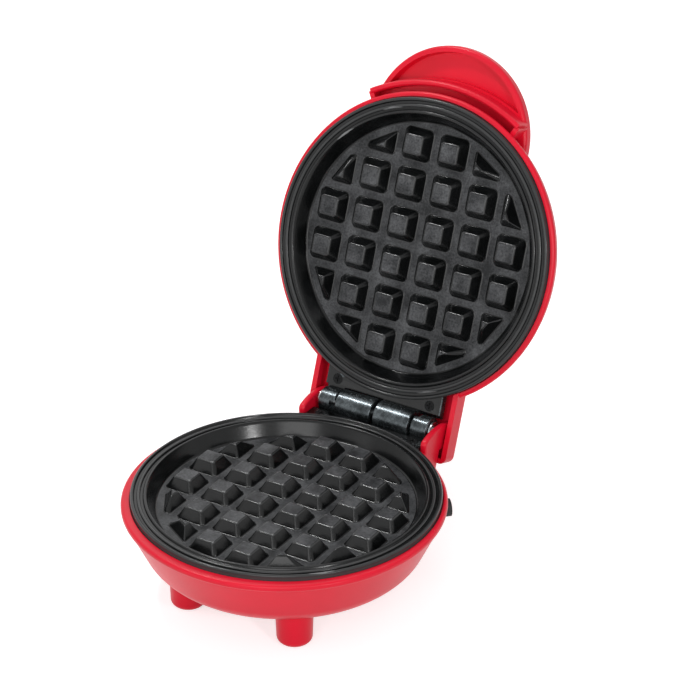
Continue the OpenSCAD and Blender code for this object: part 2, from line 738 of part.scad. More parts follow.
module dome_outer() {
    rotate_extrude() polygon(concat(
        dome_side(0), placed_down(lip_round(lid_d / 2), dome_z), [[0, lid_lip_z]]));
}

module dome_inner() {
    rotate_extrude() polygon(concat(dome_side(wall),
        [[lid_d / 2 - band_out - wall, lid_ledge_z], [0, lid_ledge_z]]));
    translate([0, 0, lid_rim_z]) cylinder(r = flange_room, h = lid_ledge_z - lid_rim_z + eps);
}

module tongue() {
    translate([0, -tongue_y, tongue_z]) rotate_extrude() polygon(concat([[0, 0]],
        arc([tongue_r - tongue_low_edge, tongue_low_edge], tongue_low_edge, -90, 0, 5),
        arc([tongue_r - tongue_edge, tongue_h - tongue_edge], tongue_edge, 0, 90, 6), [[0, tongue_h]]));
}

module finger_recess() {
    difference() {
        translate([0, -tongue_y, tongue_z - 1]) cylinder(r = tongue_r - tongue_border, h = tongue_recess + 1);
        cylinder(r = apron_r + apron_w + 0.8, h = closed_h);
    }
}

module apron() {
    rotate([0, 0, 270 - apron_half]) rotate_extrude(angle = 2 * apron_half)
        translate([apron_r, tongue_z - apron_h]) polygon(concat(
            arc([apron_w / 2, apron_w / 2], apron_w / 2, 180, 360, 8),
            [[apron_w, apron_h + 1], [0, apron_h + 1]]));
    // short walls that close the slot behind it
    for (a = [-apron_half, apron_half]) rotate([0, 0, 270 + a])
        translate([lid_d / 2 - band_out - 1, -apron_end_w / 2, tongue_z - apron_h + 0.6])
            cube([apron_gap + band_out + 1 + apron_w / 2, apron_end_w, apron_h]);
}

// box over the hinge, rounded at its top and rear corners, x0 and y0 its inner half width and front
module cover_block(half, front, back, low, high, round) {
    intersection() {
        translate([0, 0, low]) linear_extrude(high - low) polygon(concat(
            [[-half, front], [half, front]],
            arc([half - round, back - round], round, 0, 90, 6),
            arc([round - half, back - round], round, 90, 180, 6)));
        side_plate(concat([[front, low], [back, low]],
            arc([back - round, high - round], round, 0, 90, 6), [[front, high]]), -half, half);
        translate([0, back, 0]) rotate([90, 0, 0]) linear_extrude(back - front) polygon(concat(
            [[-half, low], [half, low]],
            arc([half - round, high - round], round, 0, 90, 6),
            arc([round - half, high - round], round, 90, 180, 6)));
    }
}

module lid_shell() {
    boss_z = lid_rim_z + lug_drop + lug_h;
    color(red) opened() difference() {
        union() {
            difference() {
                union() {
                    dome_outer();
                    tongue();
                    apron();
                    cover_block(arm_out, cover_front_y, cover_out_y, cover_edge_z, cover_top_z, cover_round);
                }
                dome_inner();
                finger_recess();
                translate([-arm_in, cover_front_y, lid_rim_z - 1])
                    cube([2 * arm_in, cover_in_y - cover_front_y, cover_in_z - lid_rim_z + 1]);
                translate([0, 0, closed_h - 12]) cylinder(r = lamp_r + seat, h = 20);
            }
            for (s = [-1, 1]) translate([s * lug_screw_x, lug_screw_y, boss_z])
                cylinder(r = lug_boss_r, h = cover_in_z - boss_z + eps);
        }
        for (s = [-1, 1]) translate([s * lug_screw_x, lug_screw_y, boss_z - 1])
            cylinder(r = lug_screw_r + fit, h = lug_screw_in + 1.6);
    }
}

module lamp_lens() {
    low = lamp_flange_z - lamp_flange_h;
    color("orange") opened() rotate_extrude() polygon(concat(
        [[0, low], [lamp_r + 1.4, low], [lamp_r + 1.4, lamp_flange_z], [lamp_r, lamp_flange_z]],
        arc([lamp_r - 1, lamp_top - 1], 1, 0, 90, 4), [[0, lamp_top]]));
}

module lamp_holder() {
    color("ivory") opened() translate([0, 0, holder_top - holder_h]) difference() {
        cylinder(r = 5, h = holder_h);
        translate([0, 0, 1]) cylinder(r = 3.4, h = holder_h);
        translate([0, 0, -1]) cylinder(r = 1.4, h = 4);
    }
}

module neon_lamp() {
    color("orange") opened() translate([0, 0, holder_top - holder_h + 1]) rotate_extrude() polygon(concat(
        [[0, 0], [2.6, 0], [2.6, 3.2]], arc([0, 3.2], 2.6, 12, 90, 6)));
}

module lid_wires() {
    color("ivory") on_upper() for (w = lid_wire_routes) wire(w);
}

placed() base_shell();
placed() front_left_pad();
placed() front_right_pad();
placed() rear_left_pad();
placed() rear_right_pad();
placed() lower_plate();
placed() lower_heater();
placed() lower_heater_clips();
placed() lower_reflector();
placed() thermostat();
placed() thermal_fuse();
placed() terminal_block();
placed() cord_gland();
placed() cord_clamp();
placed() base_screws();
placed() lower_lug_screws();
placed() base_wires();
placed() wire_grommet();
placed() hinge_pin();
placed() pin_clips();
placed() lid_shell();
placed() upper_plate();
placed() upper_heater();
placed() upper_heater_clips();
placed() upper_reflector();
placed() reflector_screws();
placed() upper_lug_screws();
placed() lamp_lens();
placed() lamp_holder();
placed() neon_lamp();
placed() lid_wires();
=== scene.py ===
import json
import math
import bmesh
import bpy
from mathutils import Matrix, Vector


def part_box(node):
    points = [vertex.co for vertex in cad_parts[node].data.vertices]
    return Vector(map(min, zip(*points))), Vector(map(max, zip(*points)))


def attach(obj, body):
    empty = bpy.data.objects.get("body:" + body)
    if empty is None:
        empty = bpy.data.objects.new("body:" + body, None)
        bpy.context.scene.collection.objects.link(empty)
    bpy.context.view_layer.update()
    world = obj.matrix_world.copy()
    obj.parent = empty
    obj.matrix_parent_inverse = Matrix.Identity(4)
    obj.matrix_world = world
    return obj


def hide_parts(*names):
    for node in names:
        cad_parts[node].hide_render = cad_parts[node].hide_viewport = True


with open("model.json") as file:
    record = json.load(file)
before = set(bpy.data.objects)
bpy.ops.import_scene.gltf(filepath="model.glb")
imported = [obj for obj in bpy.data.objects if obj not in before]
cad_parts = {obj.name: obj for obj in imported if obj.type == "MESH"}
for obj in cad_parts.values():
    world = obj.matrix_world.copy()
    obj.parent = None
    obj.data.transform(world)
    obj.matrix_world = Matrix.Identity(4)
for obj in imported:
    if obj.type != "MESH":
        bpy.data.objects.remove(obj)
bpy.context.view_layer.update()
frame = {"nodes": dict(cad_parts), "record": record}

nodes = frame["nodes"]
print("frame loaded:", len(nodes), "nodes")

# Sizes are in mm and everything is laid out with the lid shut: x to the right, y to the back
# from the plates' axis, z up from the table. settle() puts a finished piece into the frame.
mm = 0.001
weld = 0.001 * mm               # points closer than this are made one
same = 0.01                     # coordinates closer than this count as the same
near = 0.1                      # give or take this, where parts are picked by place or overlap
layout = {
    "pinY": 69.3,               # from the plates' axis back to the hinge pin
    "pinZ": 42.8,
    "pinRadius": 2,
    "lowerRim": 42.6,
    "upperRim": 43.0,
    "open": 110.7,              # degrees from shut to the stop
    "screws": (30, 150, 270),   # degrees round the plates' axis
}
openAngle = math.radians(layout["open"])
# the plates' axis in the frame
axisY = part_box("hinge_pin")[0].y / mm + layout["pinRadius"] - layout["pinY"]


def arc(centre, radius, start, end, parts=8):
    # points along part of a circle, with its angles in degrees
    return [(centre[0] + radius * math.cos(math.radians(start + (end - start) * i / parts)),
             centre[1] + radius * math.sin(math.radians(start + (end - start) * i / parts)))
            for i in range(parts + 1)]


def around(radius, angle):
    # a point at an angle in degrees, from x towards y
    return (radius * math.cos(math.radians(angle)), radius * math.sin(math.radians(angle)))


def only(piece):
    if bpy.context.object and bpy.context.object.mode != "OBJECT":
        bpy.ops.object.mode_set(mode="OBJECT")
    bpy.ops.object.select_all(action="DESELECT")
    piece.select_set(True)
    bpy.context.view_layer.objects.active = piece


def editing(piece, kind):
    only(piece)
    bpy.ops.object.mode_set(mode="EDIT")
    bpy.ops.mesh.select_mode(type=kind)


def pickEdges(piece, test):
    # the test is given an edge's two ends, in mm
    editing(piece, "EDGE")
    bpy.ops.mesh.select_all(action="DESELECT")
    mesh = bmesh.from_edit_mesh(piece.data)
    for edge in mesh.edges:
        if test(edge.verts[0].co / mm, edge.verts[1].co / mm):
            edge.select = True
    mesh.select_flush_mode()
    bmesh.update_edit_mesh(piece.data)


def looseOutline(name, points):
    # one vertex, then the outline drawn from it by extruding
    bpy.ops.object.select_all(action="DESELECT")
    bpy.ops.mesh.primitive_plane_add(size=mm, location=(0, 0, 0))
    piece = bpy.context.object
    piece.name = name
    editing(piece, "VERT")
    bpy.ops.mesh.select_all(action="SELECT")
    bpy.ops.mesh.merge(type="CENTER")
    points = [Vector(point) * mm for point in points]
    bpy.ops.transform.translate(value=points[0])
    for last, point in zip(points, points[1:]):
        bpy.ops.mesh.extrude_vertices_move(TRANSFORM_OT_translate={"value": point - last})
    bpy.ops.mesh.select_all(action="SELECT")
    return piece


def closed(piece):
    bpy.ops.mesh.select_all(action="SELECT")
    bpy.ops.mesh.remove_doubles(threshold=weld)
    bpy.ops.mesh.normals_make_consistent(inside=False)
    bpy.ops.object.mode_set(mode="OBJECT")
    return piece


def spun(name, outline, middle=(0, 0), steps=128):
    # outline of (radius, height) turned about an upright axis
    piece = looseOutline(name, [(middle[0] + r, middle[1], z) for r, z in outline])
    bpy.ops.mesh.spin(steps=steps, angle=2 * math.pi, axis=(0, 0, 1),
                      center=(middle[0] * mm, middle[1] * mm, 0))
    return closed(piece)


def sidePlate(name, outline, left, right):
    # outline of (y, z) drawn out along x
    piece = looseOutline(name, [(left, y, z) for y, z in outline + outline[:1]])
    bpy.ops.mesh.remove_doubles(threshold=weld)
    bpy.ops.mesh.select_all(action="SELECT")
    bpy.ops.mesh.edge_face_add()
    bpy.ops.mesh.extrude_region_move(TRANSFORM_OT_translate={"value": ((right - left) * mm, 0, 0)})
    return closed(piece)


def block(name, low, high):
    low, high = Vector(low) * mm, Vector(high) * mm
    bpy.ops.object.select_all(action="DESELECT")
    bpy.ops.mesh.primitive_cube_add(size=1, location=(low + high) / 2, scale=high - low)
    piece = bpy.context.object
    piece.name = name
    bpy.ops.object.transform_apply(location=True, rotation=True, scale=True)
    return piece


def rod(name, start, end, radius, steps=48):
    start, end = Vector(start) * mm, Vector(end) * mm
    turn = (end - start).to_track_quat("Z", "Y").to_euler()
    bpy.ops.object.select_all(action="DESELECT")
    bpy.ops.mesh.primitive_cylinder_add(
        vertices=steps, radius=radius * mm, depth=(end - start).length,
        location=(start + end) / 2, rotation=turn)
    piece = bpy.context.object
    piece.name = name
    bpy.ops.object.transform_apply(location=True, rotation=True, scale=True)
    return piece


def upright(name, spot, low, high, radius, steps=48):
    return rod(name, (*spot, low), (*spot, high), radius, steps)


def rounded(piece, test, width, segments=3):
    pickEdges(piece, test)
    bpy.ops.mesh.bevel(offset=width * mm, segments=segments, affect="EDGES", profile=0.5)
    bpy.ops.object.mode_set(mode="OBJECT")
    return piece


def joined(pieces):
    only(pieces[0])
    for piece in pieces:
        piece.select_set(True)
    bpy.ops.object.join()
    return pieces[0]


def combine(piece, how, tools):
    # one Boolean for each tool, so that overlapping tools do no harm
    for tool in tools:
        only(piece)
        step = piece.modifiers.new("combine", "BOOLEAN")
        step.operation = how
        step.solver = "EXACT"
        step.object = tool
        bpy.ops.object.modifier_apply(modifier=step.name)
        bpy.data.objects.remove(tool)
    return piece


def soften(piece, width, angle=40, segments=3):
    only(piece)
    step = piece.modifiers.new("soften", "BEVEL")
    step.width = width * mm
    step.segments = segments
    step.limit_method = "ANGLE"
    step.angle_limit = math.radians(angle)
    bpy.ops.object.modifier_apply(modifier=step.name)
    return piece


def copied(piece, name):
    only(piece)
    bpy.ops.object.duplicate()
    twin = bpy.context.object
    twin.name = name
    return twin


def moved(piece, change):
    # bakes a move into the mesh, so that the object stays at the origin
    piece.data.transform(change)
    if change.determinant() < 0:
        piece.data.flip_normals()
    piece.data.update()
    return piece


# from the shut layout to the frame, and for the lid also round the pin to its stop
shift = Matrix.Translation((0, axisY * mm, 0))
pin = Vector((0, layout["pinY"], layout["pinZ"])) * mm
swing = Matrix.Translation(pin) @ Matrix.Rotation(-openAngle, 4, "X") @ Matrix.Translation(-pin)


def settle(piece, body, stands, smooth=30):
    only(piece)
    bpy.ops.object.shade_smooth_by_angle(angle=math.radians(smooth))
    step = piece.modifiers.new("evenShading", "WEIGHTED_NORMAL")
    step.keep_sharp = True
    bpy.ops.object.modifier_apply(modifier=step.name)
    moved(piece, shift @ swing if body == "lid" else shift)
    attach(piece, body)
    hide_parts(*stands)
    print(piece.name, "made:", len(piece.data.polygons), "faces")
    return piece


def wear(piece, *materials):
    piece.data.materials.clear()
    for material in materials:
        piece.data.materials.append(material)
    for face in piece.data.polygons:
        face.material_index = 0


camera = {
    "azimuth": 31.409,          # degrees, from the front towards the right
    "elevation": 28.936,
    "lens": 159.605,
    "sensor": 36,
    "aim": (0, 41.3),           # a point on the plates' axis
    "offset": (560.837, -870.730, 636.439),
}


def makeCamera():
    aim = Vector((0, axisY + camera["aim"][0], camera["aim"][1]))
    bpy.ops.object.camera_add(
        location=(aim + Vector(camera["offset"])) * mm,
        rotation=(math.radians(90 - camera["elevation"]), 0, math.radians(camera["azimuth"])))
    view = bpy.context.object
    view.name = "camera"
    view.data.sensor_width = camera["sensor"]
    view.data.lens = camera["lens"]
    view.data.clip_start = 0.01
    bpy.context.scene.camera = view


makeCamera()
bpy.context.scene.view_settings.view_transform = "Standard"


def linear(hexColour):
    # sRGB hex to the linear colour that shaders take
    parts = [int(hexColour[i:i + 2], 16) / 255 for i in (1, 3, 5)]
    return [c / 12.92 if c <= 0.04045 else ((c + 0.055) / 1.055) ** 2.4 for c in parts] + [1]


def addNode(tree, kind, settings=None, links=None):
    node = tree.nodes.new("ShaderNode" + kind)
    for name, value in (settings or {}).items():
        if hasattr(node, name):
            setattr(node, name, value)
        else:
            node.inputs[name].default_value = value
    for name, source in (links or {}).items():
        tree.links.new(source, node.inputs[name])
    return node


light = {
    "skySeen": 1.0,             # behind the object and in its reflections: white
    "skyLit": 0.5,              # what the sky adds to the object's own light
    # place and aim in m, size in m, power in W
    "boxes": {"frontBox": ((0.4, -1.05, 0.55), (0, 0, 0.08), 0.6, 4.6),
              "leftBox": ((-0.5, -0.95, 0.22), (0, 0, 0.08), 0.5, 0.7),
              "rearBox": ((-0.5, 0.75, 1.0), (0, 0, 0.08), 0.8, 1.8),
              "topSpark": ((-0.42, -0.05, 0.95), (0, 0, 0.08), 0.09, 3.4),
              "sideSpark": ((0.85, -0.5, 0.5), (0, 0, 0.08), 0.09, 2.2)},
    "floorGlow": 0.64,
    "floorColour": "#dcdcdc",
    "floorSize": 6,             # m
    "floorDrop": 0.0001,        # m below the feet, so that no two faces lie in one plane
}


def seenOrMirrored(tree):
    # 1 for what is seen directly, mirrored or through glass, 0 for the light on the object
    path = addNode(tree, "LightPath").outputs
    total = path["Is Camera Ray"]
    for ray in ("Is Glossy Ray", "Is Transmission Ray"):
        step = addNode(tree, "Math", {"operation": "ADD", "use_clamp": True})
        tree.links.new(total, step.inputs[0])
        tree.links.new(path[ray], step.inputs[1])
        total = step.outputs[0]
    return total


def makeLight():
    world = bpy.data.worlds.new("studio")
    bpy.context.scene.world = world
    world.use_nodes = True
    tree = world.node_tree
    tree.nodes.clear()
    strength = addNode(tree, "MapRange", {"To Min": light["skyLit"], "To Max": light["skySeen"]},
                       {"Value": seenOrMirrored(tree)})
    sky = addNode(tree, "Background", {"Color": linear("#ffffff")},
                  {"Strength": strength.outputs["Result"]})
    addNode(tree, "OutputWorld", links={"Surface": sky.outputs[0]})
    for name, (place, aim, size, power) in light["boxes"].items():
        look = Vector(aim) - Vector(place)
        bpy.ops.object.light_add(type="AREA", location=place,
                                 rotation=look.to_track_quat("-Z", "Y").to_euler())
        lamp = bpy.context.object
        lamp.name = name
        lamp.data.energy = power
        lamp.data.size = size


def makeFloor():
    bpy.ops.object.select_all(action="DESELECT")
    bpy.ops.mesh.primitive_plane_add(size=light["floorSize"], location=(0, 0, -light["floorDrop"]))
    floor = bpy.context.object
    floor.name = "studioFloor"
    # matt white paper: part of its white is its own, so the sheet stays pale and keeps a shadow
    material = bpy.data.materials.new("mattPaper")
    material.use_nodes = True
    tree = material.node_tree
    tree.nodes.clear()
    glow = addNode(tree, "MapRange", {"To Min": 0.0, "To Max": light["floorGlow"]},
                   {"Value": seenOrMirrored(tree)})
    paper = addNode(tree, "BsdfDiffuse", {"Color": linear(light["floorColour"])})
    shine = addNode(tree, "Emission", {"Color": linear("#ffffff")}, {"Strength": glow.outputs[0]})
    both = addNode(tree, "AddShader")
    tree.links.new(paper.outputs[0], both.inputs[0])
    tree.links.new(shine.outputs[0], both.inputs[1])
    addNode(tree, "OutputMaterial", links={"Surface": both.outputs[0]})
    floor.data.materials.append(material)


makeLight()
makeFloor()
print("camera, light and floor ready")


def newMaterial(name, settings):
    material = bpy.data.materials.new(name)
    material.use_nodes = True
    tree = material.node_tree
    tree.nodes.clear()
    shader = addNode(tree, "BsdfPrincipled", settings)
    addNode(tree, "OutputMaterial", links={"Surface": shader.outputs["BSDF"]})
    place = addNode(tree, "TexCoord").outputs["Object"]
    return material, tree, shader, place


def finished(tree, shader, grain, pattern, tones, roughness, depth, look):
    # every finish here: two close tones that follow a pattern, and a gloss and a fine relief
    # that follow the grain. look says where the tones change over, how far the roughness
    # spreads below and above its mean, and how strong the relief is
    tone = addNode(tree, "ValToRGB", links={"Fac": pattern})
    for stop, position, colour in zip(tone.color_ramp.elements, look["stops"], tones):
        stop.position = position
        stop.color = linear(colour)
    low, high = look["spread"]
    rough = addNode(tree, "MapRange", {"From Min": 0.3, "From Max": 0.7, "To Min": roughness - low,
                                       "To Max": roughness + high}, {"Value": grain})
    bump = addNode(tree, "Bump", {"Strength": look["strength"], "Distance": depth * mm},
                   {"Height": grain})
    tree.links.new(tone.outputs["Color"], shader.inputs["Base Color"])
    tree.links.new(rough.outputs["Result"], shader.inputs["Roughness"])
    tree.links.new(bump.outputs["Normal"], shader.inputs["Normal"])
    return tone.outputs["Color"]


# Grain sizes are in mm. Real mould and spray grain is about 0.1 to 0.2 mm, which is too fine to
# show here, so all grains are drawn as coarse as they need to be seen.
red = {"tones": ("#d20e29", "#da102d"), "roughness": 0.34, "grain": 0.35, "cloud": 18,
       "depth": 0.02, "stops": (0.3, 0.7), "spread": (0.05, 0.06), "strength": 0.25}


def mouldedRedPlastic():
    # polypropylene from a fine-textured mould: even cherry red with a soft, slightly broken gloss
    material, tree, shader, place = newMaterial("mouldedRedPolypropylene", {
        "IOR": 1.49, "Specular IOR Level": 0.26})
    grain = addNode(tree, "TexNoise", {"Scale": 1 / (red["grain"] * mm), "Detail": 3,
                                       "Roughness": 0.6}, {"Vector": place}).outputs["Fac"]
    cloud = addNode(tree, "TexNoise", {"Scale": 1 / (red["cloud"] * mm), "Detail": 2},
                    {"Vector": place}).outputs["Fac"]
    finished(tree, shader, grain, cloud, red["tones"], red["roughness"], red["depth"], red)
    return material


casting = {"cloud": 9, "stops": (0.14, 0.4), "spread": (0.06, 0.08), "strength": 0.6,
           "highlightFrom": 0.52, "highlightTo": 0.58, "highlightMost": 0.8}     # Pointiness range, and the strength of the painted highlight on ridges and corners


def castCoating(name, tones, roughness, grainSize, depth, settings, edge=None):
    # one base for what is sprayed or left bare on the castings: a speckle of two close tones, a
    # slow cloudiness as the spray settles, and a dry grain that breaks up the gloss
    material, tree, shader, place = newMaterial(name, settings)
    grain = addNode(tree, "TexNoise", {"Scale": 1 / (grainSize * mm), "Detail": 4,
                                       "Roughness": 0.65}, {"Vector": place}).outputs["Fac"]
    cloud = addNode(tree, "TexNoise", {"Scale": 1 / (casting["cloud"] * mm), "Detail": 3},
                    {"Vector": place}).outputs["Fac"]
    both = addNode(tree, "Math", {"operation": "MULTIPLY"})
    tree.links.new(grain, both.inputs[0])
    tree.links.new(cloud, both.inputs[1])
    colour = finished(tree, shader, grain, both.outputs[0], tones, roughness, depth, casting)
    if edge:
        # painted highlight: ridges and corners, found by Pointiness, are lightened in the base
        # colour as fine pale lines that stand in for lamp glints
        convex = addNode(tree, "NewGeometry").outputs["Pointiness"]
        highlightMask = addNode(tree, "MapRange", {"From Min": casting["highlightFrom"],
                                          "From Max": casting["highlightTo"],
                                          "To Max": casting["highlightMost"]}, {"Value": convex})
        mixed = addNode(tree, "MixRGB", {"Color2": linear(edge)},
                        {"Fac": highlightMask.outputs["Result"], "Color1": colour})
        tree.links.new(mixed.outputs["Color"], shader.inputs["Base Color"])
    return material


smallPart = {"stops": (0.35, 0.65), "spread": (0.05, 0.05), "strength": 0.4}


def plainFinish(name, tones, roughness, grainSize, metallic=0.0, depth=0.01, extra=None):
    # one base for the small parts: two close tones and a grain of a real size in mm
    material, tree, shader, place = newMaterial(name, {"Metallic": metallic, **(extra or {})})
    grain = addNode(tree, "TexNoise", {"Scale": 1 / (grainSize * mm), "Detail": 3},
                    {"Vector": place}).outputs["Fac"]
    finished(tree, shader, grain, grain, tones, roughness, depth, smallPart)
    return material


redPlastic = mouldedRedPlastic()
# PTFE sprayed on die-cast aluminium: near-black satin, with a pale painted highlight (the last
# colour) along ridges and corners
nonStick = castCoating("sprayedPtfeCoating", ("#040505", "#121314"), 0.2, 0.5, 0.02,
                       {"IOR": 1.5, "Specular IOR Level": 0.27}, "#808182")
# the same over the blasted floor of the dish and on the pegs' tops: matt, with greyer tones that
# are painted light, so these up-facing faces read lit and the leaning sides read shaded
mattPaintedLitFaces = castCoating("ptfeMattPaintedLitFaces", ("#17181a", "#545557"), 0.46, 0.8, 0.2,
                           {"IOR": 1.4, "Specular IOR Level": 0.32})
# cast hinge, thinly coated and rubbed bright: dark metal with long streaks of light
castHinge = castCoating("rubbedCastAluminium", ("#2b2f31", "#5c6265"), 0.25, 1.4, 0.05,
                        {"Metallic": 0.85})
finishes = {
    # steel tube browned by its own heat: dull mid grey
    "heater_sheath": plainFinish("oxidisedHeaterSheath", ("#6f7376", "#8a8d90"), 0.45, 0.8, 1.0),
    # turned and zinc plated: pale, even and fairly bright
    "steel": plainFinish("turnedZincedSteel", ("#a9acae", "#bfc1c3"), 0.28, 0.5, 1.0),
    # rolled sheet: pale metal with a broad, soft sheen
    "sheet_steel": plainFinish("rolledAluminisedSheet", ("#a5a8aa", "#b9bbbd"), 0.35, 1.2, 1.0),
    # blackened screw heads: almost no gloss, so they sink into the dark lug
    "black_screws": plainFinish("blackOxideSteel", ("#08090a", "#0f1011"), 0.6, 0.4,
                                extra={"IOR": 1.3}),
    # moulded rubber: soft charcoal without a highlight
    "black_rubber": plainFinish("mouldedNitrileRubber", ("#1a1b1b", "#262727"), 0.7, 0.6),
    # moulded nylon: warm ivory, half matt
    "ivory_plastic": plainFinish("mouldedIvoryNylon", ("#d8cfb4", "#e4dcc4"), 0.5, 0.7),
    # woven glass fibre over the wires: off-white and dry
    "white_sleeve": plainFinish("wovenGlassSleeve", ("#d5d3cc", "#e8e6e0"), 0.65, 0.5),
    # polished lens: glossy orange that lets some light through
    "amber_lens": plainFinish("clearAmberPolycarbonate", ("#e8760c", "#f08a1c"), 0.12, 3.0,
                              depth=0.003, extra={"IOR": 1.58, "Transmission Weight": 0.35}),
    # drawn glass: clear, with a faint warm tint and sharp highlights
    "lamp_glass": plainFinish("clearLampGlass", ("#f3dcc8", "#f8e6d6"), 0.06, 2.0,
                              depth=0.002, extra={"IOR": 1.52, "Transmission Weight": 0.8}),
}
for part in frame["record"]["subparts"]:
    if part["material_slot"] in finishes:
        nodes[part["node"]].data.materials.clear()
        nodes[part["node"]].data.materials.append(finishes[part["material_slot"]])
print("materials ready")


# Heights of the plate, its pegs and its lug are from the rim, which is 0.
plate = {
    "edge": 61.2, "flangeHeight": 4.2, "floor": 50.8, "slopeTop": 54.5, "depth": 6.0, "under": 8.4,
    "ridge": 0.75, "grooveDepth": 0.9, "lowRidge": 57.85, "floorRound": 1.4,
    "ease": (0.12, 0.3, 0.1),       # how the ridges run out into the groove
    "brow": (0.35, 0.95),           # where the slope meets the inner ridge
    "slopeDrop": 0.4, "floorIn": 0.2, "floorRing": 6,
    "hubRadius": 9, "hubHeight": 2, "flangeRoot": 5.6, "flangeFoot": 3.6, "flangeEdge": 0.3,
    "heaterRing": 32, "ribHalf": 4.5, "ribHeight": 3.6, "channel": 3.4,
    "screwRing": 44, "bossRadius": 3.6, "bossHeight": 5, "screwBore": 1.55, "screwDeep": 1.4,
}
peg = {
    "pitch": 16.5, "foot": 12.6, "top": 8.0, "height": 4.7, "corner": 1.7,
    "fillet": 0.7, "filletOut": 0.9, "filletUp": 0.6,       # the last two are shares of it
    "topEdge": 0.7, "topIn": 0.15, "sunk": 0.4, "lift": 0.02,
    "whole": 3.5,                   # pitches from the middle, x and y added, that are left uncut
    "cut": (30.8, 47.4), "cutReach": 3.34, "cutBend": 1.35,     # the ones the slope cuts off
}
lug = {
    "half": 27, "front": 51.2, "drop": 1.2, "height": 3.4, "clear": 6.5, "round": 0.5,
    "barrel": (6.1, -17.2, -0.8), "ear": (5.3, 18.0, 25.4), "edge": 0.45,
    "bore": 2.05, "screwX": 21.7, "screwY": 60.2, "headBore": 2.2, "headDepth": 1.45,
    "threadBore": 1.5, "threadDeep": 6, "gap": 0.2, "dishIn": 4,
    "step": (2.3, 1, 1.5, 8),       # width, start before and above the pin, end past it
}


def plateOutline():
    # the casting's section from the middle of its back, round the rim, to the dish's middle
    s = plate
    edge, ridge, groove = s["edge"], s["ridge"], -s["grooveDepth"]
    back, flange, floor = -s["under"], -s["flangeHeight"], -s["depth"]
    ring, half, low = s["heaterRing"], s["ribHalf"], back - s["ribHeight"]
    inner = s["slopeTop"] + ridge
    first, last, up = s["ease"]
    slope = math.degrees(math.atan2(s["depth"] - s["slopeDrop"], s["slopeTop"] - s["floor"]))
    return ([(0, back - s["hubHeight"]), (s["hubRadius"], back - s["hubHeight"]),
             (s["hubRadius"], back), (ring - half, back), (ring - half, low),
             (ring - s["channel"], low)]
            + arc((ring, low), s["channel"], 180, 0, 16)
            + [(ring + half, low), (ring + half, back), (edge - s["flangeRoot"], back),
               (edge - s["flangeFoot"], flange), (edge - s["flangeEdge"], flange),
               (edge, flange + s["flangeEdge"])]
            + arc((edge - ridge, -ridge), ridge, 0, 160, 8)
            + [(edge - 2 * ridge - first, groove + up), (edge - 2 * ridge - last, groove)]
            + arc((s["lowRidge"], groove), ridge, 0, 180, 8)
            + [(inner + ridge + last, groove), (inner + ridge + first, groove + up)]
            + arc((inner, -ridge), ridge, 20, 150, 8)
            + [(s["slopeTop"] - s["brow"][0], -s["brow"][1])]
            + arc((s["floor"] - s["floorIn"], floor + s["floorRound"]), s["floorRound"],
                  slope - 90, -90, 6)
            + [(s["floor"] - s["floorRing"], floor), (0, floor)])


def makePeg(name, corner, cut=None, reach=None, bend=None):
    # a flat square is drawn up in steps, each a little smaller: fillet, leaning sides, top edge.
    # corner is its lowest x and y, and reach the distance from its middle to its sides
    s = peg
    z = -plate["depth"] - s["sunk"]
    size = s["foot"] + 2 * s["fillet"]
    reach = (reach or s["foot"] / 2) + s["fillet"]
    middle = Vector((corner[0] - s["fillet"] + size / 2, corner[1] - s["fillet"] + size / 2, z))
    bpy.ops.object.select_all(action="DESELECT")
    bpy.ops.mesh.primitive_plane_add(size=size * mm, location=middle * mm)
    piece = bpy.context.object
    piece.name = name
    bpy.ops.object.transform_apply(location=True)
    editing(piece, "VERT")
    bpy.ops.mesh.select_all(action="SELECT")
    if cut:
        # cut is the direction of the slope in degrees and its distance from the middle
        out = Vector((*around(1, cut[0]), 0))
        bpy.ops.mesh.bisect(plane_co=out * (cut[1] + s["fillet"]) * mm, plane_no=out,
                            clear_outer=True)
    bpy.ops.mesh.select_all(action="SELECT")
    bpy.ops.mesh.bevel(offset=(bend or s["corner"] + s["fillet"]) * mm, segments=6,
                       affect="VERTICES", profile=0.5)
    bpy.ops.mesh.select_mode(type="FACE")
    bpy.ops.mesh.select_all(action="SELECT")
    centre = Vector((corner[0] + reach - s["fillet"], corner[1] + reach - s["fillet"], z))
    steps = [(0, s["sunk"] + s["lift"])]        # how far inwards, how far up
    for angle in (30, 60, 90):      # quarter round, from nearly flat to the leaning side
        a, b = math.radians(angle - 30), math.radians(angle)
        steps.append((s["filletOut"] * s["fillet"] * (math.sin(b) - math.sin(a)),
                      s["filletUp"] * s["fillet"] * (math.cos(a) - math.cos(b))))
    edge = s["topEdge"]
    for share in (0.08, 0.84, 0.08):    # short end steps keep the sides flat when smoothed
        steps.append((share * (s["foot"] - s["top"]) / 2,
                      share * (s["height"] - s["lift"] - s["filletUp"] * s["fillet"]
                               - 0.5 * edge)))
    # the rounded top edge, and a narrow ring that keeps the top flat
    steps += [(0.35 * edge, 0.3 * edge), (0.5 * edge, 0.2 * edge), (s["topIn"], 0)]
    for inwards, up in steps:
        bpy.ops.mesh.extrude_region_move(TRANSFORM_OT_translate={"value": (0, 0, up * mm)})
        scale = (reach - inwards) / reach
        bpy.ops.transform.resize(value=(scale, scale, 1), center_override=centre * mm)
        reach -= inwards
    return closed(piece)


